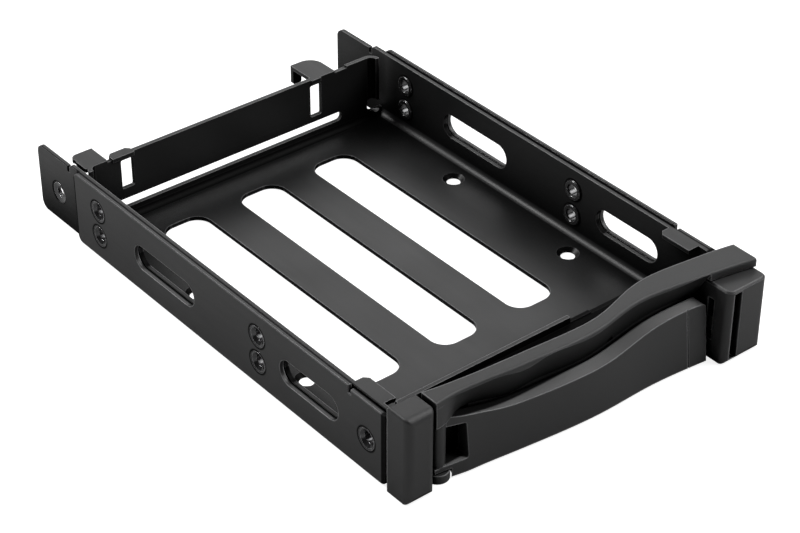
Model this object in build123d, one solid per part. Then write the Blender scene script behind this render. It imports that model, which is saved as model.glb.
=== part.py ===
# Hot swap drive caddy: a folded steel tray with side rails and a plastic front with an ejector lever.
# Millimetres, +Z up. The origin is the bottom centre of the whole caddy. The lever faces -Y and the
# fixing ears point to +Y. Nothing reaches below z = 0, where the tray and the rails rest.
import os
from build123d import *

# Sizes of the drive and the tray
drive_width = 101.6
drive_side_play = 0.4
sheet = 1.2
bend_inside = 2.0
flange_height = 21.4
rail_sheet = 1.2
rail_gap = 0.4
rail_height = 21.9
rail_nose_height = 21.0
rail_nose_length = 14.0
rail_length = 133.0
rail_corner = 2.0
ear_length = 20.8
ear_height = 20.4
ear_corner = 2.5
front_wall_setback = 1.7
front_wall_gap = 0.5
rear_wall_setback = 0.8
rear_wall_left_gap = 1.0
rear_wall_right_gap = 2.6
front_depth = 17.0

# Openings of the tray
base_slot_width = 14.0
base_slot_pitch = 25.5
base_slot_offset = -3.0
base_slot_front = 31.8
base_slot_length = 90.0
base_slot_corner = 4.8
base_hole_spacing_x = 88.0
base_hole_spacing_y = 47.6
base_hole_front = 43.7
base_hole = 4.0
base_dimple = 6.2
side_slot_height = 7.4
side_slot_z = 11.0
rear_side_slot_from_end = 42.0
rear_side_slot_length = 27.2
front_side_slot_centre = 29.5
front_side_slot_length = 23.3
rear_pair_from_end = 11.4
pair_spacing_z = 7.8
front_pair_from_nose = 50.3
pair_mid_z = 11.1
single_hole_from_nose = 7.2
single_hole_z = 10.1
corner_relief = 2.2
rear_relief_width = 3.2
rear_relief_height = 4.4
rear_relief_z = 5.7
rear_relief_inset = 1.4
rear_slit_left = -41.5
rear_slit_right = 36.2
rear_slit_low = 4.4
rear_slit_height = 2.9
window_width = 3.9
window_corner_radius = 0.5
left_window_x = -37.2
left_window_low = 10.6
left_window_high = 19.6
right_window_x = 27.0
right_window_low = 9.2
right_window_high = 19.4

# Rear hooks, front tabs and ears
left_hook_x = -46.7
left_hook_width = 7.0
left_hook_length = 6.9
left_hook_corner = 2.0
right_hook_x = 29.9
right_hook_width = 8.1
right_hook_length = 9.2
right_hook_corner = 4.5
hook_lip = 5.8
hook_lip_width = 3.0
hook_lip_corner = 0.7
hook_step_depth = 0.6
left_hook_step = 1.3
right_hook_step = 4.3
strip_width = 6.9
strip_behind = 1.4
strip_ahead = 0.5
pad_width = 3.3
ear_notch_behind = 3.6
ear_notch_width = 1.2
ear_notch_depth = 1.6
tab_length = 10.9
tab_reach = 3.4
tab_gap = 0.9
tab_front_gap = 0.9
tab_rear_corner = 1.2
wall_notch_x = 8.5
wall_notch_width = 7.0
wall_notch_depth = 1.6
left_corner_notch = 2.4
right_corner_notch = 6.0
corner_notch_depth = 4.0
wall_low_from_x = 12.0
wall_low_depth = 2.0
ear_hole_from_tip = 9.6
ear_hole_z = 9.2

# Eyelets, bushes and screws
eyelet_shank = 4.2
eyelet_bore = 3.4
eyelet_head = 6.2
eyelet_rim = 0.5
eyelet_fit = 0.04
bush_head = 6.6
bush_shank = 4.6
bush_bore = 3.0
bush_seat_depth = 0.5
seat_share = 0.75
screw_thread = 2.5
screw_head = 4.4
screw_head_thick = 1.6
screw_length = 5.2
end_screw_inset = 7.0
end_lug_width = 4.4
bezel_screw_inset = 12.0
screw_recess = 1.9
screw_recess_depth = 1.0
screw_fit = 0.02

# Plastic front
front_overhang = 0.6
end_cap_width = 8.4
end_cap_depth = 7.8
end_cap_height = 25.0
end_cap_setback = 1.2
block_corner = 2.0
block_top_edge = 0.7
housing_edge = 0.5
joint_gap = 0.4
hood_end_gap = 1.2
hood_top = 25.0
hood_thick = 2.4
deck_thick = 1.6
deck_top = 19.5
scoop_thick = 1.8
scoop_lip = 0.9
scoop_gap = 0.9
scoop_rise = 0.35
apron_drop = 5.0
back_plate_thick = 2.4
boss_width = 7.0
boss_height = 14.0
boss_low = 3.0
lug_low_thick = 2.4

# Curves of the front from left to right: places along it, and how far ahead of the rail nose the
# hood's and the lever's edges run there, with the height of the lever's top and the scoop's share
station_x = [-44.2, -41.2, -38.6, -36.0, -31.0, -26.0, -14.3, -2.6, 7.0, 14.0, 21.2, 29.0, 39.2]
hood_rear_ahead = [1.9, 2.6, 3.0, 3.3, 3.9, 4.3, 5.1, 5.9, 5.6, 3.9, 1.9, 1.2, 2.2]
hood_front_ahead = [7.5, 7.1, 7.0, 7.1, 7.5, 8.1, 9.2, 10.0, 9.4, 8.0, 7.4, 8.2, 9.8]
lever_rear_ahead = [2.3, 2.4, 2.8, 3.3, 3.7, 4.1, 5.0, 5.8, 6.1, 5.8, 5.8, 6.4, 7.0]
lever_front_ahead = [6.5, 6.9, 7.4, 7.9, 8.4, 9.0, 10.4, 11.5, 11.8, 11.6, 11.5, 11.9, 12.9]
lever_top_height = [17.2, 17.1, 16.8, 16.2, 15.1, 14.1, 13.35, 13.35, 13.7, 14.7, 16.1, 17.1, 17.2]
scoop_share = [0.0, 0.05, 0.3, 0.65, 1, 1, 1, 1, 1, 1, 1, 1, 1]
hood_end_x = 49.5
hood_end_rear_ahead = 3.6
hood_end_front_ahead = 11.6
hood_tip_rear_ahead = 4.6
hood_tip_front_ahead = 12.7

# Ejector lever and its pin
lever_foot = 0.5
lever_top = 17.2
lever_lean = 2.0
lever_run_clear = 0.4
pin_x = -42.0
pin_behind_nose = -4.4
pin_diameter = 2.4
pin_running_fit = 0.05
knuckle_radius = 1.9
lug_radius = 2.5
lower_lug_radius = 3.1
window_right_x = -34.9
window_corner = 0.8
window_low_left = 3.2
window_low_right = 4.2
window_bar = 2.2
lever_end_corner = 1.0
seam_x = 33.5
seam_width = 0.3
seam_depth = 0.25
tongue_length = 1.7
tongue_thick = 1.6
tongue_low = 8.0
tongue_high = 13.0
tongue_front = -9.8

# Latch housing and latch
housing_width = 13.4
housing_height = 22.3
housing_rim = 1.7
slot_width = 2.6
slot_low = 1.0
slot_bridge = 0.9
chamber_front = 5.0
chamber_width = 4.2
chamber_low = 1.8
latch_low = 9.0
latch_height = 8.4
latch_depth = 4.6
latch_clear = 0.25
latch_top_clear = 0.1
latch_travel = 3.0
latch_thumb_recess = 2.2
latch_thumb_height = 4.0
latch_nose_height = 3.2
spring_wire = 0.5
spring_radius = 1.35
spring_turns = 5

# Derived places
inner_half = drive_width / 2 + drive_side_play
flange_outer = inner_half + sheet
rail_inner = flange_outer + rail_gap
rail_outer = rail_inner + rail_sheet
front_half_width = rail_outer + front_overhang
housing_left = front_half_width - housing_width
end_screw_x = front_half_width - end_screw_inset
rear_side_slot_centre = rail_length - rear_side_slot_from_end
rear_pair_from_nose = rail_length - rear_pair_from_end
lever_left_x = station_x[0]
lever_end_x = station_x[-1]
hood_left_x = -front_half_width + end_cap_width + hood_end_gap
total_length = front_depth + rail_length + ear_length
nose = front_depth - total_length / 2
ear_tip = nose + rail_length + ear_length
wall_front = nose + front_wall_setback
wall_rear = nose + rail_length + rear_wall_setback
hood_under = hood_top - hood_thick
cap_front = nose - end_cap_setback - end_cap_depth
housing_front = nose - front_depth
pin_y = nose + pin_behind_nose
back_plate_front = wall_front - back_plate_thick
chamber_high = latch_low + latch_height + latch_top_clear


def side_slot(centre, length):
    """Stadium cutter that runs through both side walls."""
    outline = Plane.YZ * Pos(nose + centre, side_slot_z) * SlotOverall(length, side_slot_height)
    return extrude(outline, amount=rail_outer * 2, both=True)


def side_hole_places():
    """Y and Z of the five eyelets of one side."""
    rows = [pair_mid_z + pair_spacing_z / 2, pair_mid_z - pair_spacing_z / 2]
    columns = [nose + front_pair_from_nose, nose + rear_pair_from_nose]
    places = [(y, z) for y in columns for z in rows]
    places.append((nose + single_hole_from_nose, single_hole_z))
    return places


def along_x(x, y, z, side=1):
    """Place a shape that was drawn along +Z so that it points out of the given side."""
    return Pos(side * x, y, z) * Rot(0, 90 * side, 0)


def along_y(x, y, z):
    """Place a shape that was drawn along +Z so that it lies along +Y."""
    return Pos(x, y, z) * Rot(-90, 0, 0)


def folded_shell():
    """Base with its four walls, folded from one sheet with round bends."""
    length = wall_rear - wall_front
    centre_y = (wall_rear + wall_front) / 2
    outer = Pos(0, centre_y, flange_height / 2) * Box(2 * flange_outer, length, flange_height)
    outer = fillet(outer.edges().group_by(Axis.Z)[0], bend_inside + sheet)
    inner_height = flange_height
    inner = Pos(0, centre_y, sheet + inner_height / 2) * Box(2 * inner_half, length - 2 * sheet, inner_height)
    inner = fillet(inner.edges().group_by(Axis.Z)[0], bend_inside)
    shell = outer - inner
    for side in (-1, 1):
        gap = Box(front_wall_gap, 4 * sheet, flange_height)
        gap_x = side * (inner_half - front_wall_gap / 2)
        gap_z = sheet + bend_inside + flange_height / 2
        shell = shell - Pos(gap_x, wall_front, gap_z) * gap
    return shell


def curled_end(side, end_gap):
    """Forward curl at one end of the rear wall, and the cutter that frees it from the flange."""
    end_x = inner_half - end_gap
    low = sheet + bend_inside
    height = flange_height - low
    bend = bend_inside + sheet
    tube = Cylinder(bend, height) - Cylinder(bend_inside, height)
    quarter = tube & Pos(bend / 2, bend / 2, 0) * Box(bend, bend, height)
    curl = Pos(end_x - bend, wall_rear - bend, low + height / 2) * quarter
    start_x = end_x - bend
    cutter = Pos((start_x + inner_half) / 2, wall_rear - bend / 2 + sheet, low + flange_height / 2) * Box(
        inner_half - start_x, bend + 2 * sheet, flange_height
    )
    if side < 0:
        return mirror(curl, Plane.YZ), mirror(cutter, Plane.YZ)
    return curl, cutter


def flange_run(side):
    """Flat side flange that runs on past the front wall and becomes the ear behind."""
    length = ear_tip - nose
    outline = Plane.YZ * Pos(nose + length / 2, ear_height / 2) * RectangleRounded(
        length, ear_height, ear_corner
    )
    raised_length = wall_rear - nose + ear_notch_behind
    raised = Plane.YZ * Pos(nose + raised_length / 2, flange_height / 2) * RectangleRounded(
        raised_length, flange_height, sheet
    )
    run = Pos(inner_half, 0, 0) * (extrude(outline, amount=sheet) + extrude(raised, amount=sheet))
    bend = bend_inside + sheet
    over_pan = Pos(flange_outer, (wall_front + wall_rear) / 2, 0) * Box(
        2 * bend, wall_rear - wall_front - 2 * bend, 2 * bend
    )
    run = run - over_pan
    if side < 0:
        run = mirror(run, Plane.YZ)
    return run


def front_tab(side):
    """Short return folded inwards at the front top of a side flange."""
    low_y = wall_front + sheet + tab_front_gap
    high_y = low_y + tab_length
    left = inner_half - tab_reach
    tab = Pos((left + flange_outer) / 2, (low_y + high_y) / 2, flange_height - sheet / 2) * Box(
        flange_outer - left, high_y - low_y, sheet
    )
    corners = tab.edges().filter_by(Axis.Z).group_by(Axis.X)[0].sort_by(Axis.Y)
    tab = chamfer(corners[-1], tab_rear_corner)
    if side < 0:
        tab = mirror(tab, Plane.YZ)
    return tab


def rear_hook(x, width, length, corner, round_side):
    """Hook folded back from the rear wall: flat tongue with a round corner and a narrow lip at its left."""
    start = wall_rear - sheet
    far = wall_rear + length
    plate = Pos(x, (start + far) / 2, flange_height - sheet / 2) * Box(width, far - start, sheet)
    uprights = plate.edges().filter_by(Axis.Z).group_by(Axis.Y)[-1].sort_by(Axis.X)
    plate = fillet(uprights[-1] if round_side > 0 else uprights[0], corner)
    lip_left = x - width / 2 + (corner if round_side < 0 else 0)
    lip_x = lip_left + hook_lip_width / 2
    lip = Pos(lip_x, far - sheet / 2, flange_height - hook_lip / 2) * Box(hook_lip_width, sheet, hook_lip)
    lip = fillet(lip.edges().filter_by(Axis.Y).group_by(Axis.Z)[0], hook_lip_corner)
    return plate + lip


def wall_top_strips():
    """Narrow strips pressed out along the top of the rear wall above its two windows."""
    front = wall_rear - sheet - strip_ahead
    rear = wall_rear + strip_behind
    strip_left = left_hook_x + left_hook_width / 2 + left_hook_step
    strip = Pos(strip_left + strip_width / 2, (front + rear) / 2, flange_height - sheet / 2) * Box(
        strip_width, rear - front, sheet
    )
    corners = strip.edges().filter_by(Axis.Z).group_by(Axis.Y)[-1]
    strip = chamfer(corners, strip_behind * seat_share)
    pad = Pos(right_window_x, (front + wall_rear) / 2, flange_height - sheet / 2) * Box(
        pad_width, wall_rear - front, sheet
    )
    return strip + pad


def base_openings():
    """Three long slots and four countersunk dimples of the base."""
    cutters = []
    for step in (-1, 0, 1):
        x = base_slot_offset + step * base_slot_pitch
        y = nose + base_slot_front + base_slot_length / 2
        outline = Pos(x, y, -sheet) * RectangleRounded(base_slot_width, base_slot_length, base_slot_corner)
        cutters.append(extrude(outline, amount=3 * sheet))
    for x in (-base_hole_spacing_x / 2, base_hole_spacing_x / 2):
        for y in (nose + base_hole_front, nose + base_hole_front + base_hole_spacing_y):
            cutters.append(Pos(x, y, 0) * Cylinder(base_hole / 2, 4 * sheet))
            cone = Cone(base_hole / 2, base_dimple / 2, sheet * 0.8)
            cutters.append(Pos(x, y, sheet - sheet * 0.4) * cone)
    return cutters


def rear_openings():
    """Slit along the rear wall, two windows, steps beside the hooks and the corner relief holes."""
    outlines = [
        Pos((rear_slit_left + rear_slit_right) / 2, rear_slit_low + rear_slit_height / 2)
        * SlotOverall(rear_slit_right - rear_slit_left, rear_slit_height)
    ]
    windows = (
        (left_window_x, left_window_low, left_window_high),
        (right_window_x, right_window_low, right_window_high),
    )
    for x, low, high in windows:
        window = RectangleRounded(window_width, high - low, window_corner_radius)
        outlines.append(Pos(x, (low + high) / 2) * window)
    steps = (
        (left_hook_x + left_hook_width / 2, left_hook_step),
        (right_hook_x + right_hook_width / 2, right_hook_step),
    )
    for left, width in steps:
        outlines.append(Pos(left + width / 2, flange_height) * Rectangle(width, 2 * hook_step_depth))
    for side, end_gap in ((-1, rear_wall_left_gap), (1, rear_wall_right_gap)):
        relief_x = side * (inner_half - end_gap - rear_relief_inset)
        relief = SlotOverall(rear_relief_height, rear_relief_width)
        outlines.append(Pos(relief_x, rear_relief_z) * Rot(0, 0, 90) * relief)
    middle = Pos(0, wall_rear - sheet / 2, 0)
    reach = bend_inside + 2 * sheet
    placed = [middle * extrude(Plane.XZ * outline, amount=reach, both=True) for outline in outlines]
    for side in (-1, 1):
        corner_x = side * (inner_half - bend_inside / 2)
        corner_y = wall_front + bend_inside
        placed.append(Pos(corner_x, corner_y, 0) * Cylinder(corner_relief, 4 * bend_inside))
    return placed


def ear_joint_notches():
    """Slim notch between each ear and the flange top."""
    cutters = []
    for side in (-1, 1):
        x = side * (inner_half + sheet / 2)
        y = wall_rear + ear_notch_behind + ear_notch_width / 2
        notch = Box(3 * sheet, ear_notch_width, 2 * ear_notch_depth)
        cutters.append(Pos(x, y, ear_height) * notch)
    return cutters


def tray_pan():
    """The whole folded tray."""
    pan = folded_shell()
    for side, end_gap in ((-1, rear_wall_left_gap), (1, rear_wall_right_gap)):
        curl, cutter = curled_end(side, end_gap)
        pan = pan - cutter + curl + flange_run(side) + front_tab(side)
    pan = pan + rear_hook(left_hook_x, left_hook_width, left_hook_length, left_hook_corner, -1)
    pan = pan + rear_hook(right_hook_x, right_hook_width, right_hook_length, right_hook_corner, 1)
    pan = pan + wall_top_strips()
    for cutter in base_openings() + rear_openings() + ear_joint_notches():
        pan = pan - cutter
    notch = Box(wall_notch_width, 3 * sheet, 2 * wall_notch_depth)
    pan = pan - Pos(wall_notch_x, wall_front + sheet / 2, flange_height) * notch
    low_width = inner_half - wall_low_from_x
    low_part = Box(low_width, 2 * sheet, 2 * wall_low_depth)
    pan = pan - Pos(inner_half - low_width / 2, wall_front + sheet / 2, flange_height) * low_part
    for side, width in ((-1, left_corner_notch), (1, right_corner_notch)):
        corner = Box(width, 2 * sheet + tab_gap, 2 * corner_notch_depth)
        corner_x = side * (inner_half - width / 2)
        pan = pan - Pos(corner_x, wall_front + sheet / 2, flange_height) * corner
    pan = pan - side_slot(rear_side_slot_centre, rear_side_slot_length)
    pan = pan - side_slot(front_side_slot_centre, front_side_slot_length)
    for y, z in side_hole_places():
        pan = pan - along_x(0, y, z) * Cylinder(eyelet_shank / 2, 2 * flange_outer + sheet)
    ear_y = ear_tip - ear_hole_from_tip
    pan = pan - along_x(0, ear_y, ear_hole_z) * Cylinder(bush_shank / 2, 2 * flange_outer + sheet)
    for side in (-1, 1):
        seat = rivet_seat(bush_shank, bush_head, bush_seat_depth)
        pan = pan - along_x(flange_outer, ear_y, ear_hole_z, side) * seat
    for x, z in front_screw_places():
        pan = pan - along_y(x, wall_front + sheet / 2, z) * Cylinder(screw_thread / 2 + screw_fit, 2 * sheet)
    return pan


def rail(side):
    """Outer rail plate with its lower nose, slots and countersunk eyelet holes."""
    outline = Plane.YZ * Pos(nose + rail_length / 2, rail_height / 2) * RectangleRounded(
        rail_length, rail_height, rail_corner
    )
    plate = Pos(rail_inner, 0, 0) * extrude(outline, amount=rail_sheet)
    drop = rail_height - rail_nose_height
    step = Box(3 * rail_sheet, rail_nose_length * 2, drop * 2)
    plate = plate - Pos(rail_inner, nose, rail_height) * step
    notch = Box(3 * rail_sheet, drop, drop * 3)
    plate = plate - Pos(rail_inner, nose + rail_nose_length - drop / 2, rail_height - drop) * notch
    plate = plate - side_slot(rear_side_slot_centre, rear_side_slot_length)
    plate = plate - side_slot(front_side_slot_centre, front_side_slot_length)
    for y, z in side_hole_places():
        plate = plate - along_x(rail_inner, y, z) * Cylinder(eyelet_shank / 2, 3 * rail_sheet)
        seat = rivet_seat(eyelet_shank, eyelet_head, rail_sheet * seat_share)
        plate = plate - along_x(rail_outer, y, z) * seat
    outside = plate.faces().sort_by(Axis.X)[-1].outer_wire().edges()
    plate = chamfer(outside, rail_sheet / 6)
    if side < 0:
        plate = mirror(plate, Plane.YZ)
    return plate


def rivet_seat(shank, head, depth):
    """Countersink for a flared rivet, drawn along +Z with its mouth at the origin."""
    return Pos(0, 0, -depth / 2) * Cone(shank / 2, head / 2, depth)


def flared_rivet(bore, shank, head, stack, seat_depth):
    """Hollow rivet drawn along +Z: a rolled rim below the origin, its flared end in a seat at the top."""
    bore_radius = bore / 2
    shank_radius = shank / 2 - eyelet_fit
    head_radius = head / 2 - eyelet_fit
    seat_low = stack - seat_depth
    flare_top = stack - eyelet_rim / 4
    flare_radius = shank_radius + (head_radius - shank_radius) * (flare_top - seat_low) / seat_depth
    points = [
        (bore_radius + eyelet_rim / 2, -eyelet_rim),
        (head_radius - eyelet_rim / 2, -eyelet_rim),
        (head_radius, -eyelet_rim / 2),
        (head_radius, 0),
        (shank_radius, 0),
        (shank_radius, seat_low),
        (flare_radius, flare_top),
        (head_radius - eyelet_rim, flare_top),
        (bore_radius, seat_low),
        (bore_radius, 0),
    ]
    return revolve(Plane.XZ * make_face(Polyline(*points, close=True)), Axis.Z)


def rail_eyelets(side):
    """The five eyelets that join one rail to the tray."""
    stack = rail_outer - inner_half
    eyelet = flared_rivet(eyelet_bore, eyelet_shank, eyelet_head, stack, rail_sheet * seat_share)
    return Compound(children=[along_x(inner_half, y, z, side) * eyelet for y, z in side_hole_places()])


def ear_bush(side):
    """Hollow bush flared into the countersink of an ear."""
    bush = flared_rivet(bush_bore, bush_shank, bush_head, sheet, bush_seat_depth)
    return along_x(inner_half, ear_tip - ear_hole_from_tip, ear_hole_z, side) * bush


def hood_curve(ahead, end_ahead, tip_ahead):
    """One edge of the hood from its left end, past the stations, to its right tip."""
    points = [(x, nose - y) for x, y in zip(station_x, ahead)]
    points[0] = (hood_left_x, points[0][1])
    points.append((hood_end_x, nose - end_ahead))
    points.append((front_half_width, nose - tip_ahead))
    return points


def lever_curve(ahead, back=0.0):
    """One edge of the lever, moved back by the given amount."""
    return [(x, nose - y + back) for x, y in zip(station_x, ahead)]


def band(rear, front):
    """Flat face between a rear and a front curve."""
    rear_line = Spline(*rear)
    front_line = Spline(*front)
    left = Line(rear[0], front[0])
    right = Line(rear[-1], front[-1])
    return make_face([rear_line, front_line, left, right])


def scoop_stations(left, right):
    """Lip and foot of the leaning scoop at each station, stretched to the two given ends."""
    rows = []
    for x, hood_y, lever_y, top, share in zip(
        station_x, hood_front_ahead, lever_rear_ahead, lever_top_height, scoop_share
    ):
        lip_y = nose - hood_y
        foot_y = lip_y + share * (hood_y - lever_y + scoop_gap)
        rows.append([x, lip_y, foot_y, top + scoop_rise])
    rows[0][0] = left
    rows[-1][0] = right
    return rows


def along_stations(rows, outline):
    """Smooth body through one upright outline per station."""
    faces = []
    for x, lip_y, foot_y, foot_z in rows:
        faces.append(Plane.YZ.offset(x) * make_face(Polyline(*outline(lip_y, foot_y, foot_z), close=True)))
    return loft(faces)


def lean_at(lip_y, foot_y, foot_z, z):
    """Depth of the scoop's face at a height, on the line from its foot to its lip."""
    share = (z - foot_z) / (hood_top - scoop_lip - foot_z)
    return foot_y + share * (lip_y - foot_y)


def scoop_slab(lip_y, foot_y, foot_z):
    """Outline of the scoop's wall, its face a little proud so that the finishing cut trims it."""
    high = hood_under + hood_thick / 4
    high_y = lean_at(lip_y, foot_y, foot_z, high)
    return [
        (foot_y - scoop_rise, foot_z),
        (high_y - scoop_rise, high),
        (high_y + scoop_thick, high),
        (foot_y + scoop_thick, foot_z),
    ]


def scoop_front(lip_y, foot_y, foot_z):
    """Outline of everything ahead of the scoop's face."""
    high = hood_top + hood_thick
    low = foot_z - apron_drop * 2
    return [
        (foot_y, low),
        (foot_y, foot_z),
        (lean_at(lip_y, foot_y, foot_z, high), high),
        (lip_y - front_depth, high),
        (lip_y - front_depth, low),
    ]


def front_screw_places():
    """X and Z of the screws that hold the plastic front to the front wall."""
    middle = boss_low + boss_height / 2
    return [
        (-end_screw_x, middle),
        (pin_x + bezel_screw_inset, middle),
        (lever_end_x - bezel_screw_inset, middle),
        (end_screw_x, middle),
    ]


def bezel_frame():
    """Hood with its S-shaped edges, leaning scoop, deck, back plate, bosses and the two hinge lugs."""
    rear = hood_curve(hood_rear_ahead, hood_end_rear_ahead, hood_tip_rear_ahead)
    front = hood_curve(hood_front_ahead, hood_end_front_ahead, hood_tip_front_ahead)
    hood = extrude(Pos(0, 0, hood_under) * band(rear, front), amount=hood_thick)
    lip = hood.edges().group_by(Axis.Z)[-1].sort_by(Axis.Y)[0]
    hood = fillet(lip, scoop_lip * 0.8)
    left = hood_left_x
    right = housing_left - joint_gap
    body_zone = Pos((left + right) / 2, nose, hood_top / 2) * Box(right - left, 6 * front_depth, hood_top * 2)
    rows = scoop_stations(left - joint_gap, right + joint_gap)
    slab = along_stations(rows, scoop_slab) & body_zone
    deck_low = deck_top - deck_thick
    deck_rear = [(-rail_outer, wall_front), (0, wall_front), (rail_outer, wall_front)]
    deck_front = [(x, lean_at(lip_y, foot_y, foot_z, deck_top) + scoop_thick / 2)
                  for x, lip_y, foot_y, foot_z in rows]
    deck = extrude(Pos(0, 0, deck_low) * band(deck_rear, deck_front), amount=deck_thick) & body_zone
    apron_left = window_right_x + scoop_thick * 2
    apron_zone = Pos((apron_left + right) / 2, nose, hood_top / 2) * Box(
        right - apron_left, 6 * front_depth, hood_top * 2
    )
    apron_low = min(lever_top_height) - apron_drop
    apron = band(lever_curve(lever_rear_ahead, scoop_gap + scoop_thick), lever_curve(lever_rear_ahead, scoop_gap))
    apron = extrude(Pos(0, 0, apron_low) * apron, amount=deck_top - deck_thick / 2 - apron_low) & apron_zone
    plate_left = end_lug_width / 2 + joint_gap - end_screw_x
    plate = Pos((plate_left + right) / 2, wall_front - back_plate_thick / 2, deck_top / 2) * Box(
        right - plate_left, back_plate_thick, deck_top
    )
    body = hood + slab + deck + apron + plate
    for x, z in front_screw_places()[1:3]:
        boss = Pos(x, back_plate_front - boss_width / 4, z) * Box(boss_width, boss_width / 2, boss_height / 2)
        body = body + boss
    neck_length = wall_front - pin_y
    body = body + hinge_lug(deck_low, deck_thick, lug_radius, neck_length)
    body = body - along_stations(scoop_stations(left - front_depth / 4, right + joint_gap), scoop_front)
    body = body + (hinge_lug(0, lug_low_thick, lower_lug_radius, neck_length) & body_zone)
    body = body - Pos(pin_x, pin_y, hood_under / 2) * Cylinder(pin_diameter / 2, hood_under)
    for x, z in front_screw_places()[1:3]:
        body = body - along_y(x, wall_front - screw_length / 2, z) * Cylinder(screw_thread / 2, screw_length)
    return body


def hinge_lug(low, thick, radius, neck_length):
    """Round lug about the hinge pin with a neck back to the front wall."""
    lug = Pos(pin_x, pin_y, low + thick / 2) * Cylinder(radius, thick)
    neck = Pos(pin_x, pin_y + neck_length / 2, low + thick / 2) * Box(2 * radius, neck_length, thick)
    return lug + neck


def left_end_cap():
    """Solid looking end block at the left of the front, with a lug that reaches the front wall."""
    depth = end_cap_depth
    block = Pos(-front_half_width + end_cap_width / 2, cap_front + depth / 2, end_cap_height / 2) * Box(
        end_cap_width, depth, end_cap_height
    )
    front_edges = block.edges().group_by(Axis.Y)[0]
    block = fillet(front_edges, block_corner)
    top_edges = block.edges().group_by(Axis.Z)[-1]
    block = fillet(top_edges, block_top_edge)
    lug_x, lug_z = front_screw_places()[0]
    lug_y = wall_front - (front_wall_setback + end_cap_setback) / 2
    lug_depth = front_wall_setback + end_cap_setback
    lug = Pos(lug_x, lug_y, lug_z) * Box(end_lug_width, lug_depth, boss_height)
    shoulder = Pos(lug_x, cap_front + depth - end_lug_width / 4, lug_z) * Box(
        end_lug_width, end_lug_width / 2, boss_height
    )
    cap = block + lug + shoulder
    return cap - along_y(lug_x, wall_front - screw_length / 2, lug_z) * Cylinder(screw_thread / 2, screw_length)


def lever_top_cutter():
    """Removes what stands above the lever's dipped top line."""
    points = list(zip(station_x, lever_top_height))
    left = (station_x[0] - front_depth, lever_top_height[0])
    right = (station_x[-1] + front_depth, lever_top_height[-1])
    high = 2 * lever_top
    lid = Polyline(points[0], left, (left[0], high), (right[0], high), right, points[-1])
    face = make_face([Spline(*points)] + list(lid.edges()))
    return Pos(0, nose, 0) * extrude(Plane.XZ * face, amount=2 * front_depth, both=True)


def lever_window():
    """Cutter for the window beside the knuckle, open to the lever's left end."""
    left = lever_left_x - front_depth
    bar_left = lever_top_height[0] - window_bar
    bar_right = lever_top_height[3] - window_bar
    outline = Polyline(
        (left, window_low_left),
        (window_right_x, window_low_right),
        (window_right_x, bar_right),
        (lever_left_x, bar_left),
        (left, bar_left),
        close=True,
    )
    window = Pos(0, nose, 0) * extrude(Plane.XZ * make_face(outline), amount=2 * front_depth, both=True)
    uprights = window.edges().filter_by(Axis.Y).group_by(Axis.X)[-1]
    return fillet(uprights, window_corner)


def lever_seam():
    """Cutter for the fine upright groove near the right end of the lever's face."""
    zone = Pos(seam_x, nose, lever_top / 2) * Box(seam_width, 4 * front_depth, 2 * lever_top)
    foot = band(lever_curve(lever_front_ahead, seam_depth), lever_curve(lever_front_ahead, -seam_depth))
    head_rear = lever_curve(lever_front_ahead, lever_lean + seam_depth)
    head = band(head_rear, lever_curve(lever_front_ahead, lever_lean - seam_depth))
    skin = loft([Pos(0, 0, lever_foot) * foot, Pos(0, 0, lever_top + lever_foot) * head])
    return skin & zone


def lever_corner():
    """Cutter that rounds the top corner at the lever's right end."""
    centre = Pos(lever_end_x - lever_end_corner, nose, lever_top_height[-1] - lever_end_corner)
    size = 2 * lever_end_corner
    block = Pos(size / 2, 0, size / 2) * Box(size, 2 * front_depth, size)
    return centre * (block - Rot(90, 0, 0) * Cylinder(lever_end_corner, 3 * front_depth))


def ejector_lever():
    """Curved lever with a dipped grip, a window beside its hinge knuckle and a latch tongue."""
    rear = lever_curve(lever_rear_ahead)
    foot = Pos(0, 0, lever_foot) * band(rear, lever_curve(lever_front_ahead))
    head = Pos(0, 0, lever_top + lever_foot) * band(rear, lever_curve(lever_front_ahead, lever_lean))
    body = loft([foot, head])
    body = body - lever_top_cutter() - lever_window()
    knuckle_low = lug_low_thick + lever_run_clear
    lug_clear = Cylinder(lower_lug_radius + lever_run_clear, 2 * knuckle_low)
    body = body - Pos(pin_x, pin_y, 0) * lug_clear
    knuckle_high = lever_top_height[1] - lever_run_clear
    knuckle = Pos(pin_x, pin_y, (knuckle_low + knuckle_high) / 2) * Cylinder(
        knuckle_radius, knuckle_high - knuckle_low
    )
    body = body + knuckle
    bore = Pos(pin_x, pin_y, lever_top / 2) * Cylinder(pin_diameter / 2 + pin_running_fit, 2 * lever_top)
    body = body - bore - lever_seam() - lever_corner()
    tongue = Pos(
        lever_end_x + tongue_length / 2,
        nose + tongue_front + tongue_thick / 2,
        (tongue_low + tongue_high) / 2,
    ) * Box(tongue_length * 1.5, tongue_thick, tongue_high - tongue_low)
    tongue = Pos(-tongue_length / 4, 0, 0) * tongue
    return body + tongue


def lever_pin():
    """Straight hinge pin with bevelled ends."""
    length = deck_top - joint_gap
    pin = Pos(pin_x, pin_y, joint_gap / 2 + length / 2) * Cylinder(pin_diameter / 2, length)
    return chamfer(pin.edges().filter_by(GeomType.CIRCLE), pin_diameter / 8)


def chamber_centre_x():
    """Middle of the latch chamber, in line with the slot in the housing's front."""
    return housing_left + housing_rim + chamber_width / 2 - latch_clear


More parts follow.
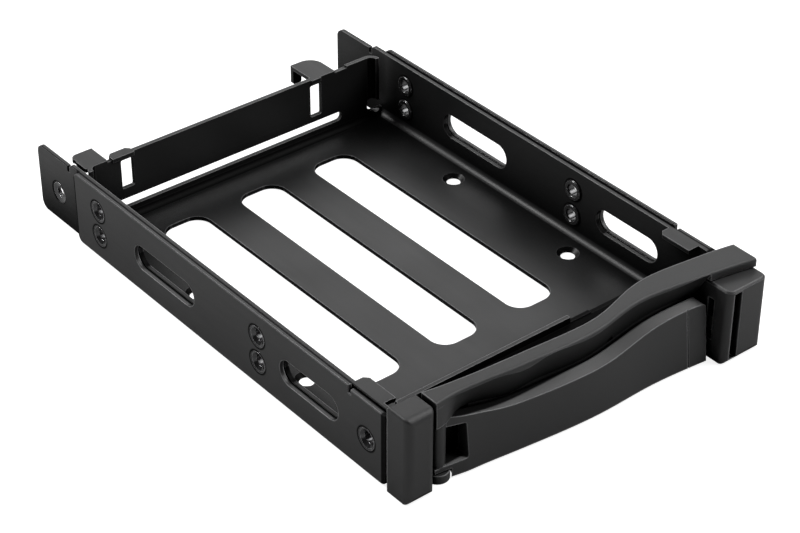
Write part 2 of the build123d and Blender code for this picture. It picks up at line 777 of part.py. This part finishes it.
def latch_housing():
    """Right end block: front slot, latch chamber, nose window and a lug that reaches the front wall."""
    width = front_half_width - housing_left
    depth = front_depth - end_cap_setback
    block = Pos(housing_left + width / 2, housing_front + depth / 2, housing_height / 2) * Box(
        width, depth, housing_height
    )
    front_edges = block.edges().group_by(Axis.Y)[0]
    low_edge = front_edges.filter_by(Axis.X).sort_by(Axis.Z)[0]
    block = fillet(front_edges.filter_by(Axis.Z) + [low_edge], block_corner)
    block = chamfer(block.edges().group_by(Axis.Z)[-1].sort_by(Axis.Y)[0:3], housing_edge)
    slot_x = housing_left + housing_rim + slot_width / 2
    slot_high = housing_height - slot_bridge
    slot = Pos(slot_x, housing_front + chamber_front / 2, (slot_low + slot_high) / 2) * Box(
        slot_width, chamber_front * 1.5, slot_high - slot_low
    )
    chamber_rear = nose - end_cap_setback
    chamber_start = housing_front + chamber_front
    chamber = Pos(
        chamber_centre_x(), (chamber_start + chamber_rear) / 2 + 1, (chamber_low + chamber_high) / 2
    ) * Box(chamber_width, chamber_rear - chamber_start + 2, chamber_high - chamber_low)
    nose_low = latch_low - latch_travel - joint_gap
    nose_high = latch_low + latch_height + joint_gap
    window = Pos(housing_left, latch_nose_y(), (nose_low + nose_high) / 2) * Box(
        housing_rim * 3, tongue_thick + 2 * latch_clear, nose_high - nose_low
    )
    lug_x, lug_z = front_screw_places()[3]
    lug_depth = front_wall_setback + end_cap_setback
    lug = Pos(lug_x, wall_front - lug_depth / 2, lug_z) * Box(end_lug_width, lug_depth, boss_height)
    body = block + lug - slot - chamber - window
    return body - along_y(lug_x, wall_front - screw_length / 2, lug_z) * Cylinder(screw_thread / 2, screw_length)


def latch_nose_y():
    """Depth of the latch nose, just ahead of the lever's tongue."""
    return nose + tongue_front - tongue_thick / 2 - latch_clear


def release_latch():
    """Vertical slider with a thumb ridge in the slot and a nose beside the lever's tongue."""
    start = housing_front + chamber_front + latch_clear
    width = chamber_width - 2 * latch_clear
    body = Pos(chamber_centre_x(), start + latch_depth / 2, latch_low + latch_height / 2) * Box(
        width, latch_depth, latch_height
    )
    body = chamfer(body.edges().filter_by(Axis.Y), latch_clear)
    thumb_x = housing_left + housing_rim + slot_width / 2
    thumb_front = housing_front + latch_thumb_recess
    thumb = Pos(thumb_x, (thumb_front + start) / 2, latch_low + latch_height / 2) * Box(
        slot_width - 2 * latch_clear, start - thumb_front, latch_thumb_height
    )
    thumb = fillet(thumb.edges().filter_by(Axis.X).group_by(Axis.Y)[0], latch_thumb_height / 6)
    nose_left = housing_left + latch_clear
    nose_right = chamber_centre_x()
    nose_z = (tongue_low + tongue_high) / 2
    tip = Pos((nose_left + nose_right) / 2, latch_nose_y(), nose_z) * Box(
        nose_right - nose_left, tongue_thick, latch_nose_height
    )
    return body + thumb + tip


def latch_retainer():
    """Plug behind the latch that closes the chamber."""
    start = housing_front + chamber_front + 2 * latch_clear + latch_depth
    end = wall_front + sheet - screw_length - joint_gap
    plug = Pos(chamber_centre_x(), (start + end) / 2, (chamber_low + chamber_high) / 2) * Box(
        chamber_width, end - start, chamber_high - chamber_low
    )
    return chamfer(plug.faces().sort_by(Axis.Y)[-1].outer_wire().edges(), latch_clear)


def latch_spring():
    """Compression spring under the latch, standing on the chamber floor."""
    height = latch_low - chamber_low
    path_height = height - spring_wire
    pitch = path_height / spring_turns
    centre_y = housing_front + chamber_front + latch_clear + latch_depth / 2
    path = Helix(pitch, path_height, spring_radius)
    wire = Plane(origin=path @ 0, z_dir=path % 0) * Circle(spring_wire / 2)
    coil = sweep(wire, path=path)
    return Pos(chamber_centre_x(), centre_y, chamber_low + spring_wire / 2) * coil


def front_screw(x, z):
    """Cross recess screw whose head bears on the rear of the front wall."""
    head_face = wall_front + sheet
    shank = Cylinder(screw_thread / 2, screw_length)
    shank = along_y(x, head_face - screw_length / 2, z) * shank
    head = along_y(x, head_face + screw_head_thick / 2, z) * Cylinder(screw_head / 2, screw_head_thick)
    head = fillet(head.edges().filter_by(GeomType.CIRCLE).sort_by(Axis.Y)[-1], screw_head_thick / 3)
    recess = Box(screw_recess, 2 * screw_recess_depth, screw_recess / 3)
    cross = recess + Rot(0, 90, 0) * recess
    return shank + head - Pos(x, head_face + screw_head_thick, z) * cross


def build_all():
    """Every node by name."""
    places = front_screw_places()
    return {
        "tray_pan": tray_pan(),
        "left_rail": rail(-1),
        "right_rail": rail(1),
        "left_rail_eyelets": rail_eyelets(-1),
        "right_rail_eyelets": rail_eyelets(1),
        "left_ear_bush": ear_bush(-1),
        "right_ear_bush": ear_bush(1),
        "left_end_cap": left_end_cap(),
        "bezel_frame": bezel_frame(),
        "ejector_lever": ejector_lever(),
        "lever_pin": lever_pin(),
        "latch_housing": latch_housing(),
        "release_latch": release_latch(),
        "latch_retainer": latch_retainer(),
        "latch_spring": latch_spring(),
        "left_cap_screw": front_screw(*places[0]),
        "bezel_screws": Compound(children=[front_screw(*places[1]), front_screw(*places[2])]),
        "housing_screw": front_screw(*places[3]),
    }


os.makedirs("parts", exist_ok=True)
for name, shape in build_all().items():
    export_step(shape, "parts/" + name + ".step")
    box = shape.bounding_box()
    print(name, "solids", len(shape.solids()), "volume", round(shape.volume, 1), box.min, box.max)
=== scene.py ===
# A hot swap drive caddy, all in black: a tray folded from steel sheet with a rail riveted to each
# side, and a moulded plastic front that holds an ejector lever and its sliding latch.
# Metres, +Z up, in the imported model's own frame. The lever faces -Y.
import bpy
import math
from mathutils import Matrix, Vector


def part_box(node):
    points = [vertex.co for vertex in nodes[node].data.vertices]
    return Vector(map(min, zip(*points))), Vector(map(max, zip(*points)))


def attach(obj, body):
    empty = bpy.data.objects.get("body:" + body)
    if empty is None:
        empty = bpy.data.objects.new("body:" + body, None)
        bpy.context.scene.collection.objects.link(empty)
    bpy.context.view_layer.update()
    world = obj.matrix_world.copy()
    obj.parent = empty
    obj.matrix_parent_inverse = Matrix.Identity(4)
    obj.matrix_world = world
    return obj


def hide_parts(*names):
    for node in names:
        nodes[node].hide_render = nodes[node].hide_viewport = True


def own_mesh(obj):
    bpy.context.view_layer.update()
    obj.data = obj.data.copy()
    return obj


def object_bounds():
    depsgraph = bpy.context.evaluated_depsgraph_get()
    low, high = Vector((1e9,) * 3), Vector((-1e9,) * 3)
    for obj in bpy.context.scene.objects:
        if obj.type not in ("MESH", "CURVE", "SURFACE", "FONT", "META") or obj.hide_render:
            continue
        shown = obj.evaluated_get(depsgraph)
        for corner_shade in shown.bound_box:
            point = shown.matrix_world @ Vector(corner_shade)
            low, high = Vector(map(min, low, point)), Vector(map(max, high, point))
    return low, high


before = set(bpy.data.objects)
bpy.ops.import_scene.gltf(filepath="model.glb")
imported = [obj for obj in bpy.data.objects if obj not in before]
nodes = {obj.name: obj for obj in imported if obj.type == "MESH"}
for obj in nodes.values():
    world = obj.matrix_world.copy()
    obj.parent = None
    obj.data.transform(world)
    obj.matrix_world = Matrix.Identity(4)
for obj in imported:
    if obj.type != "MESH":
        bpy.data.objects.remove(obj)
cad_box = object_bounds()


# The viewer stands ahead of the caddy's left front corner and looks down on it through a long lens,
# as for a catalogue picture.
viewer_stand = (-0.3060, -0.38265, 0.34224)
viewer_turns = (55.268, -0.134, -39.093)  # degrees about X, Y and Z
lens_length = 101.12  # millimetres
nearest_seen = 0.01

viewer = bpy.data.objects.new("viewer", bpy.data.cameras.new("viewer"))
viewer.location = viewer_stand
viewer.rotation_euler = [math.radians(turn) for turn in viewer_turns]
viewer.data.lens = lens_length
viewer.data.clip_start = nearest_seen
bpy.context.collection.objects.link(viewer)
bpy.context.scene.camera = viewer


# Tray pan: one blank of 1.2 mm steel, stamped, then folded up on all four sides, with round bends,
# and dipped in a black coat that leaves a satin skin, thinner along every cut edge, where its
# lighter colour is partly rubbed coat and partly painted highlight.
# The dull black that painted shade falls to.
painted_shade_black = (0.002, 0.002, 0.002, 1)

# Ways that a surface can face.
up, right, left, ahead = (0, 0, 1), (1, 0, 0), (-1, 0, 0), (0, -1, 0)

# Where flange, rail and ear meet, and where painted shade lines lie along the joints: distances
# from the middle, along the caddy and above its foot. A pair is where the painted shade begins and
# where it is complete.
rail_gap_middle = 0.05262
flange_skin = (0.0519, 0.0521)
rail_rear_end = 0.0646
rail_nose = (-0.0665, -0.0669)
low_top = (0.0208, 0.0204)
low_top_front = (-0.0650, -0.0654)

# Middles of the eyelets and of the ear's bush, seen from the side, each ringed with painted shade.
joined_at = ((0, 0.0532, 0.0150), (0, 0.0532, 0.0072), (0, -0.0181, 0.0150), (0, -0.0181, 0.0072),
             (0, -0.0612, 0.0101), (0, 0.0758, 0.0092))
shade_ring_radius = 0.0032


class Wire:
    """An output of a finish's nodes, written with in plain sums. Numbers go through Math nodes, and
    places and directions through Vector Math."""

    def __init__(self, finish, socket):
        self.finish = finish
        self.socket = socket

    def work(self, operation, *values, out=0):
        vectors = any(isinstance(value, Wire) and value.socket.type == "VECTOR" for value in values)
        kind = "ShaderNodeVectorMath" if vectors else "ShaderNodeMath"
        return self.finish.node(kind, {"operation": operation}, dict(enumerate(values)), out)

    def __add__(self, other):
        return self.work("ADD", self, other)

    def __radd__(self, other):
        return self.work("ADD", other, self)

    def __sub__(self, other):
        return self.work("SUBTRACT", self, other)

    def __rsub__(self, other):
        return self.work("SUBTRACT", other, self)

    def __mul__(self, other):
        return self.work("MULTIPLY", self, other)

    def __rmul__(self, other):
        return self.work("MULTIPLY", other, self)

    def __or__(self, other):
        """The greater of two."""
        return self.work("MAXIMUM", self, other)

    def __ror__(self, other):
        return self.work("MAXIMUM", other, self)

    def __and__(self, other):
        """The lesser of two."""
        return self.work("MINIMUM", self, other)

    def __rand__(self, other):
        return self.work("MINIMUM", other, self)

    def __matmul__(self, other):
        """How far two directions agree, from -1 to 1."""
        return self.work("DOT_PRODUCT", self, other, out="Value")

    def __rmatmul__(self, other):
        return self.work("DOT_PRODUCT", other, self, out="Value")

    def __abs__(self):
        return self.work("ABSOLUTE", self)

    def apart(self, spot):
        """How far a place is from a spot."""
        return self.work("DISTANCE", self, spot, out="Value")

    def unit(self):
        """A direction at length 1."""
        return self.work("NORMALIZE", self)


class Finish:
    """One surface finish: a shader whose fixed numbers stand on its own sockets."""

    def __init__(self, name, fixed):
        self.material = bpy.data.materials.new(name)
        self.material.use_nodes = True
        self.tree = self.material.node_tree
        self.shader = self.tree.nodes["Principled BSDF"]
        for socket, value in fixed.items():
            self.link(self.shader, socket, value)

    def link(self, node, socket, value):
        if isinstance(value, Wire):
            self.tree.links.new(value.socket, node.inputs[socket])
        else:
            node.inputs[socket].default_value = value

    def node(self, kind, settings=(), inputs=(), out=0):
        """Any other node: its type, its settings, then the values or wires of its sockets."""
        made = self.tree.nodes.new(kind)
        for setting, value in dict(settings).items():
            setattr(made, setting, value)
        for socket, value in dict(inputs).items():
            self.link(made, socket, value)
        return Wire(self, made.outputs[out])

    def vary(self, **wires):
        """Wires what changes over the surface to the shader's sockets."""
        for socket, wire in wires.items():
            self.link(self.shader, socket.replace("_", " "), wire)

    def noise(self, size, detail, stretch=(1, 1, 1)):
        """Soft grain of one size, in metres, from 0 to 1."""
        place = self.node("ShaderNodeTexCoord", out="Object")
        scaled = place * tuple(1 / (size * longer) for longer in stretch)
        return self.node("ShaderNodeTexNoise", {},
                         {"Vector": scaled, "Scale": 1.0, "Detail": detail, "Roughness": 0.5})

    def spread(self, wire, low, high, to_low=0.0, to_high=1.0):
        """Stretches part of a wire's range over another, clamped. Low may be the greater."""
        return self.node("ShaderNodeMapRange", {"clamp": True},
                         {"Value": wire, "From Min": low, "From Max": high,
                          "To Min": to_low, "To Max": to_high})

    def mix(self, share, first, second):
        """Goes from the first colour to the second as the share goes from 0 to 1."""
        return self.node("ShaderNodeMix", {"data_type": "RGBA"}, {0: share, 6: first, 7: second}, 2)

    def place(self):
        return self.node("ShaderNodeNewGeometry", out="Position")

    def along(self, axis):
        """A place's distance along one of the caddy's own axes."""
        return self.node("ShaderNodeSeparateXYZ", {}, {"Vector": self.place()}, axis)

    def facing(self, way):
        """How far a surface faces one way: 1 towards it, 0 square to it and -1 away from it."""
        return self.node("ShaderNodeNewGeometry", out="Normal") @ way

    def edges(self, radius):
        """The surface's direction with its edges rounded, and how far it turns within the radius:
        0 on flats and up to 1 on sharp edges."""
        rounded = self.node("ShaderNodeBevel", {"samples": 6}, {"Radius": radius})
        return rounded, self.spread(self.facing(rounded), 0.995, 0.80)

    def crevice(self, reach, low, high):
        """How hidden a place is by its neighbours, by ambient occlusion: 0 in the open and up to 1
        in narrow gaps. It masks painted shade.
        """
        open_share = self.node("ShaderNodeAmbientOcclusion", {"samples": 8},
                               {"Distance": reach}, "AO")
        return self.spread(open_share, low, high, 1.0, 0.0)

    def bump(self, height, depth, rounded):
        """Raises grain from a surface whose edges are already rounded."""
        return self.node("ShaderNodeBump", {}, {"Height": height, "Distance": depth,
                                                "Strength": 1.0, "Normal": rounded})

    def paint_shade(self, share):
        """Paints shade: lets the surface fall to a dull black where the share is 1, standing in for
        the shade that falls in gaps and hollows."""
        painted_shade_bsdf = self.node("ShaderNodeBsdfDiffuse", {}, {"Color": painted_shade_black})
        shown = self.node("ShaderNodeMixShader", {},
                          {0: share, 1: Wire(self, self.shader.outputs[0]), 2: painted_shade_bsdf})
        self.link(self.tree.nodes["Material Output"], "Surface", shown)


def shade(tone, red, green, blue):
    """A grey of one tone with a slight cast, as a shader takes it."""
    return (tone * red, tone * green, tone * blue, 1)


def coat(material, *names):
    """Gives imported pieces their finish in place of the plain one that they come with."""
    for name in names:
        nodes[name].data.materials.clear()
        nodes[name].data.materials.append(material)


def coated_steel(name, tone, satin, inner_shade_depth):
    """Black dip coat on steel: faint clouds, a fine skin and cut edges painted lighter, partly as
    rubbed coat and partly as painted highlight. The last argument is how deep the painted shade on
    the pan's inner corners and walls lies, from 0 for a flat strip that has none."""
    steel = Finish(name, {"Metallic": 0.0, "Specular IOR Level": 0.5, "IOR": 1.5})
    rounded, edge = steel.edges(radius=0.00045)
    clouds = steel.noise(size=0.022, detail=3.0)
    rolling = steel.noise(size=0.0016, detail=3.0, stretch=(1, 14, 1))
    skin = steel.noise(size=0.00028, detail=2.0)
    # Cut edges painted lighter: partly rubbed coat, partly painted highlight.
    worn_edge_highlight = edge * steel.spread(steel.noise(size=0.0035, detail=4.0), 0.42, 0.62, 0.70, 1.0)
    body = steel.mix(clouds, shade(tone, 0.82, 0.83, 0.86), shade(tone, 1.18, 1.18, 1.20))
    steel.vary(
        Base_Color=steel.mix(worn_edge_highlight, body, shade(tone, 20, 20, 20.4)),
        Roughness=steel.spread(clouds + rolling * 0.5, 0.5, 1.1, satin - 0.05, satin + 0.07)
        - worn_edge_highlight * 0.14,
        Normal=steel.bump(skin + rolling * 0.25, depth=0.000012, rounded=rounded),
    )

    # Painted shade inside the pan: on its corners, though not the long bends that catch the light,
    # on its rear wall with the bend under it, and on the inner face of its right flange.
    sideways = abs(steel.facing(right))
    side_bend = steel.spread(sideways, 0.08, 0.16) * steel.spread(sideways, 0.995, 0.97)
    corner_shade = steel.crevice(reach=0.024, low=0.50, high=0.95) * (1.0 - side_bend)
    forward = steel.facing(ahead)
    rear_bend_shade = steel.spread(forward, 0.05, 0.20) * steel.spread(forward, 0.995, 0.97) * 1.1
    rear_wall_shade = steel.spread(forward, 0.9, 0.99) * 0.6
    right_half = steel.spread(steel.along("X"), 0.0, 0.01)
    right_flange_shade = steel.spread(steel.facing(left), 0.9, 0.99) * right_half * 0.35
    inner_shade = (corner_shade | rear_bend_shade | rear_wall_shade | right_flange_shade) * inner_shade_depth

    # Painted shade in narrow gaps: along each rail's top, with the lowered top at its front, at the
    # ends of the rails, and in a ring round each eyelet and bush.
    narrow_shade = steel.crevice(reach=0.0022, low=0.20, high=0.50)
    narrow_shade = narrow_shade | steel.crevice(reach=0.012, low=0.25, high=0.42)
    across, lengthwise = abs(steel.along("X")), steel.along("Y")
    top = steel.spread(steel.facing(up), 0.6, 0.9)
    gap = steel.spread(abs(across - rail_gap_middle), 0.00055, 0.00040)
    lowered = steel.spread(steel.along("Z"), *low_top) * steel.spread(lengthwise, *low_top_front)
    rear_end = steel.spread(abs(lengthwise - rail_rear_end), 0.0007, 0.0005)
    ends = (steel.spread(lengthwise, *rail_nose) | rear_end) * steel.spread(across, *flange_skin)
    from_the_side = steel.place() * (0, 1, 1)
    nearest = 1.0
    for spot in joined_at:
        nearest = nearest & from_the_side.apart(spot)
    ring_shade = steel.spread(abs(nearest - shade_ring_radius), 0.00055, 0.00020)
    joint_shade = (gap | lowered) * top | ends | ring_shade * steel.spread(sideways, 0.9, 0.97)
    steel.paint_shade(inner_shade | narrow_shade | joint_shade * 0.9)
    return steel.material


coat(coated_steel("tray_black_coat", tone=0.019, satin=0.43, inner_shade_depth=0.84), "tray_pan")


# Side rails: flat strips of the same steel, stamped with the tray's own side slots, their edges
# tumbled and coated before they are riveted on.
rail_coat = coated_steel("rail_black_coat", tone=0.024, satin=0.38, inner_shade_depth=0.0)
coat(rail_coat, "left_rail", "right_rail")


# Eyelets and ear bushes: hollow rivets and pressed-in threaded bushes, turned from steel and
# blackened, so their rims stay dark and glossier than the sheet round them.
def blackened_steel(name, tone, gloss):
    """Oxide black on turned steel, with the turning's faint rings and rims painted lighter, partly
    as rubbed metal and partly as painted highlight.
    """
    turned = Finish(name, {"Specular IOR Level": 0.5})
    rounded, edge = turned.edges(radius=0.00018)
    rings = turned.noise(size=0.0002, detail=1.0, stretch=(1, 1, 6))
    patches = turned.noise(size=0.0014, detail=3.0)
    body = turned.mix(patches, shade(tone, 0.8, 0.8, 0.82), shade(tone, 1.3, 1.3, 1.32))
    turned.vary(
        Base_Color=turned.mix(edge, body, shade(tone, 9, 9, 9.1)),
        Metallic=turned.spread(patches, 0.3, 0.7, 0.75, 0.95),
        Roughness=turned.spread(patches + rings * 0.4, 0.4, 1.0, gloss, gloss + 0.14),
        Normal=turned.bump(rings, depth=0.000008, rounded=rounded),
    )
    # Painted shade in the bores and recesses, from ambient occlusion.
    turned.paint_shade(turned.crevice(reach=0.0018, low=0.28, high=0.62))
    return turned.material


rivet_black = blackened_steel("rivet_black_oxide", tone=0.10, gloss=0.15)
coat(rivet_black, "left_rail_eyelets", "right_rail_eyelets", "left_ear_bush", "right_ear_bush")


# Plastic front: hood, end cap and latch housing, injection moulded in black with a fine spark grain
# that gives the flats a soft sheen and leaves the parting edges smooth.
# Where the painted shade on the sunk deck behind the hood lies:
deck_top = (0.0206, 0.0202)  # above the foot, over the sunk deck behind the hood
deck_front = (-0.0748, -0.0742)  # along the caddy, where the hood ends and the deck begins
deck_end = (0.0452, 0.0450)  # from the middle, where the deck runs out


def moulded_plastic(name, tone, satin, grain, crown=0.0):
    """Black moulded plastic with a spark-eroded grain and polished corners, whose lighter colour is
    painted highlight. Crown leans what faces up a little to the front, as a top that isn't quite
    flat does."""
    resin = Finish(name, {"Metallic": 0.0, "Specular IOR Level": 0.5, "IOR": 1.49})
    rounded, edge = resin.edges(radius=0.0006)
    if crown:
        lean = resin.spread(rounded @ up, 0.80, 0.97, 0.0, -crown)
        rounded = (rounded + resin.node("ShaderNodeCombineXYZ", {}, {"Y": lean})).unit()
    pits = resin.noise(size=grain, detail=2.0)
    flow = resin.noise(size=0.018, detail=2.0)
    body = resin.mix(flow, shade(tone, 0.9, 0.9, 0.92), shade(tone, 1.12, 1.12, 1.14))
    resin.vary(
        Base_Color=resin.mix(edge, body, shade(tone, 11, 11, 11.2)),
        Roughness=resin.spread(pits + flow * 0.3, 0.4, 0.95, satin - 0.04, satin + 0.08)
        - edge * 0.1,
        Normal=resin.bump(pits, depth=0.000016, rounded=rounded),
    )

    # Painted shade in narrow gaps, in deep places that don't face up, on undersides, and on the
    # sunk deck behind the hood.
    upward = resin.facing(up)
    narrow_shade = resin.crevice(reach=0.0022, low=0.22, high=0.50)
    deep_shade = resin.crevice(reach=0.010, low=0.28, high=0.52) * resin.spread(upward, 0.90, 0.60)
    under_shade = resin.spread(upward, -0.03, -0.24, 0.0, 0.48)
    deck = resin.spread(resin.along("Z"), *deck_top) * resin.spread(resin.along("Y"), *deck_front)
    deck = deck * resin.spread(abs(resin.along("X")), *deck_end)
    deck_shade = deck * resin.spread(upward, 0.6, 0.9, 0.0, 0.95)
    resin.paint_shade(narrow_shade | deep_shade | under_shade | deck_shade)
    return resin.material


front_plastic = moulded_plastic("front_black_plastic", tone=0.030, satin=0.46, grain=0.00022)
coat(front_plastic, "left_end_cap", "bezel_frame", "latch_housing")


# Ejector lever and its pin: the lever is moulded from the same black with a slightly smoother face
# where fingers pull it; the pin is a straight steel dowel.
coat(moulded_plastic("lever_black_plastic", tone=0.028, satin=0.42, grain=0.00020, crown=0.7),
     "ejector_lever")
coat(rivet_black, "lever_pin")


# Release latch: a plain moulded slider behind the housing's slot, and the plug that closes its
# chamber, both of a far darker, duller black than the front; that near black is painted shade for
# the slot they sit behind.
latch_plastic = moulded_plastic("latch_black_plastic", tone=0.006, satin=0.60, grain=0.00018)
coat(latch_plastic, "release_latch", "latch_retainer")


# Latch spring: music wire wound into five turns, its end turns closed flat, left bright under oil.
# It stands on the chamber's floor and carries the latch.
spring_wire_radius = 0.00025
spring_turns = 5


def wound_spring(low, high, wire_radius, turns):
    """A coil that fills the box from low to high, as a closed tube of round wire. Half a turn at
    each end lies flat."""
    sides, steps = 10, 28  # round the wire, and round each turn
    centre = (low + high) / 2
    radius = (high.x - low.x) / 2 - wire_radius
    rise = high.z - low.z - 2 * wire_radius
    path = []
    for step in range(turns * steps + 1):
        turn = step / steps
        lift = min(max((turn - 0.5) / (turns - 1), 0), 1)
        path.append(Vector((centre.x + radius * math.cos(math.tau * turn),
                            centre.y + radius * math.sin(math.tau * turn),
                            low.z + wire_radius + rise * lift)))
    points, faces = [], []
    for step, spot in enumerate(path):
        onward = (path[min(step + 1, len(path) - 1)] - path[max(step - 1, 0)]).normalized()
        outward = Vector((spot.x - centre.x, spot.y - centre.y, 0)).normalized()
        outward = (outward - onward * outward.dot(onward)).normalized()
        upward = onward.cross(outward)
        for side in range(sides):
            angle = math.tau * side / sides
            points.append(spot + outward * (wire_radius * math.cos(angle))
                          + upward * (wire_radius * math.sin(angle)))
    for step in range(len(path) - 1):
        for side in range(sides):
            first, second = step * sides + side, step * sides + (side + 1) % sides
            faces.append((first, second, second + sides, first + sides))
    faces += [tuple(reversed(range(sides))), tuple(range(len(points) - sides, len(points)))]
    mesh = bpy.data.meshes.new("wound_latch_spring")
    mesh.from_pydata(points, [], faces)
    mesh.shade_smooth()
    return mesh


spring_low, spring_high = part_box("latch_spring")
spring = bpy.data.objects.new(
    "wound_latch_spring", wound_spring(spring_low, spring_high, spring_wire_radius, spring_turns))
bpy.context.collection.objects.link(spring)
spring.data.materials.append(blackened_steel("spring_wire", tone=0.20, gloss=0.20))
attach(spring, "tray")
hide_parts("latch_spring")
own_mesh(spring)


# Front screws: short cross-recess screws, zinc plated and passivated black. They pull the plastic
# front against the tray's front wall.
coat(rivet_black, "left_cap_screw", "bezel_screws", "housing_screw")


# Table: a wide sheet, mid grey to the lamps' light, so that it throws little of it on the caddy's
# sides, and glowing white to the viewer alone. It still shows the caddy's own shadow.
table_reach = 4.0
table_clearance = 0.0002
table_greys = ((0.57, 0.57, 0.57, 1), (0.59, 0.59, 0.59, 1))
table_patch = 0.08
table_glow = (0.85, 0.85, 0.85, 1)

table_corners = [(-table_reach, -table_reach, 0), (table_reach, -table_reach, 0),
                 (table_reach, table_reach, 0), (-table_reach, table_reach, 0)]
table_mesh = bpy.data.meshes.new("table")
table_mesh.from_pydata(table_corners, [], [(0, 1, 2, 3)])
table = bpy.data.objects.new("table", table_mesh)
table.location.z = cad_box[0].z - table_clearance
bpy.context.collection.objects.link(table)
pale = Finish("pale_table",
              {"Roughness": 0.7, "Specular IOR Level": 0.2, "Emission Strength": 1.0})
seen_by_viewer = pale.node("ShaderNodeLightPath", out="Is Camera Ray")
pale.vary(
    Base_Color=pale.mix(pale.noise(size=table_patch, detail=3.0), *table_greys),
    Emission_Color=pale.mix(seen_by_viewer, (0, 0, 0, 1), table_glow),
)
table_mesh.materials.append(pale.material)


# Studio: five soft lamps aimed at the caddy. The overhead one and the one behind light the tops,
# the one at the back left the pan's side bend, and the two at the front right the lever's top and
# the front's upper edges. A faint even sky keeps shadows open.
lamp_aim = Vector((0, 0, 0.01))
sky_strength = 0.02
for name, place, size, power in (
    ("overhead", (0.10, 0.10, 1.00), (0.70, 0.70), 1.2),
    ("behind", (0.66, 0.70, 0.62), (0.80, 0.50), 2.7),
    ("back_left", (-0.42, 0.62, 0.84), (0.60, 0.45), 7.0),
    ("front_right", (0.55, -0.34, 0.82), (0.60, 0.60), 5.0),
    ("low_right", (0.66, -0.66, 0.56), (0.50, 0.40), 2.3),
):
    lamp = bpy.data.objects.new(name, bpy.data.lights.new(name, "AREA"))
    lamp.data.shape = "RECTANGLE"
    lamp.data.size, lamp.data.size_y = size
    lamp.data.energy = power
    lamp.location = place
    lamp.rotation_euler = (lamp_aim - Vector(place)).to_track_quat("-Z", "Y").to_euler()
    bpy.context.collection.objects.link(lamp)

sky = bpy.data.worlds.new("studio")
sky.use_nodes = True
sky_light = sky.node_tree.nodes["Background"]
sky_light.inputs["Color"].default_value = (1, 1, 1, 1)
sky_light.inputs["Strength"].default_value = sky_strength
bpy.context.scene.world = sky
bpy.context.scene.view_settings.view_transform = "Standard"
